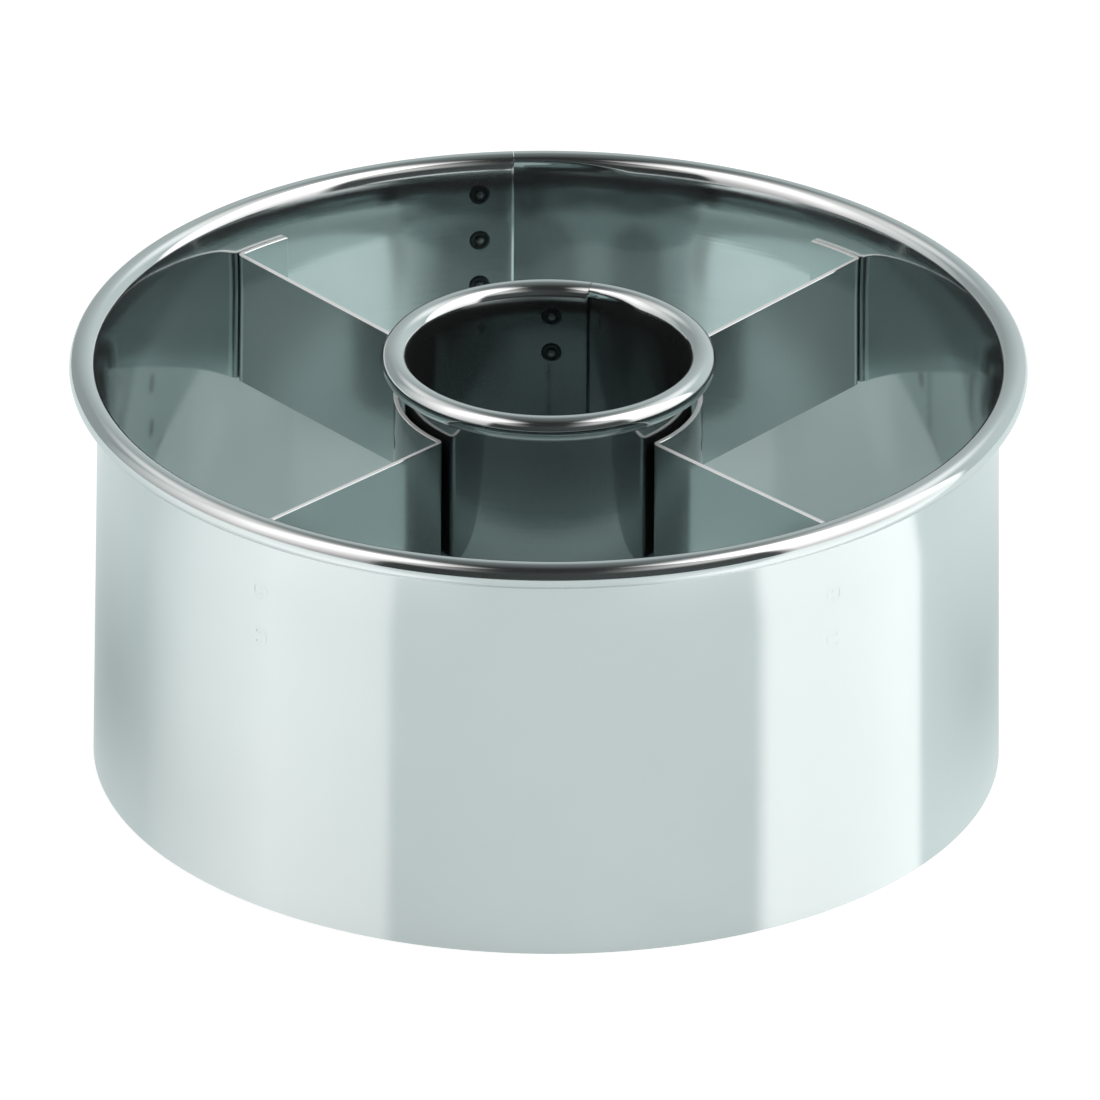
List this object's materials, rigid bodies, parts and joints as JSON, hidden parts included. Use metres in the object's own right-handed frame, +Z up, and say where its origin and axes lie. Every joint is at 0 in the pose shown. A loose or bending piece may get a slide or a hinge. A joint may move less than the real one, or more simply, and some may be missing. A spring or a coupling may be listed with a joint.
{
  "type": "doughnut cutter",
  "caption": "Round sheet-steel pastry cutter: a beaded outer ring and a small inner ring, joined by bent spoke strips, that stamps out ring-shaped dough.",
  "frame": {"origin": "on the axis of the rings, in the plane that both cutting edges stand on", "axes": "+Z up along the rings' axis, towards the beaded rims; +Y towards the lapped seams at the back; +X to the right"},
  "size_m": [0.0948, 0.0948, 0.0441],
  "materials": {
    "stainless_sheet": "bright annealed stainless sheet, near mirror, with a faint rolling grain",
    "weld_nugget": "spot-weld dimple, duller than the sheet round it"
  },
  "bodies": {
    "root": {"outer_ring": "stainless_sheet", "inner_ring": "stainless_sheet", "left_spoke_strip": "stainless_sheet", "right_spoke_strip": "stainless_sheet", "outer_seam_weld_1": "weld_nugget", "outer_seam_weld_2": "weld_nugget", "outer_seam_weld_3": "weld_nugget", "outer_seam_weld_4": "weld_nugget", "outer_seam_weld_5": "weld_nugget", "outer_seam_weld_6": "weld_nugget", "outer_seam_weld_7": "weld_nugget", "outer_seam_weld_8": "weld_nugget", "inner_seam_weld_1": "weld_nugget", "inner_seam_weld_2": "weld_nugget", "inner_seam_weld_3": "weld_nugget", "inner_seam_weld_4": "weld_nugget", "left_front_tab_weld_1": "weld_nugget", "left_front_tab_weld_2": "weld_nugget", "left_back_tab_weld_1": "weld_nugget", "left_back_tab_weld_2": "weld_nugget", "left_hub_weld_1": "weld_nugget", "left_hub_weld_2": "weld_nugget", "right_front_tab_weld_1": "weld_nugget", "right_front_tab_weld_2": "weld_nugget", "right_back_tab_weld_1": "weld_nugget", "right_back_tab_weld_2": "weld_nugget", "right_hub_weld_1": "weld_nugget", "right_hub_weld_2": "weld_nugget"}
  },
  "joints": []
}
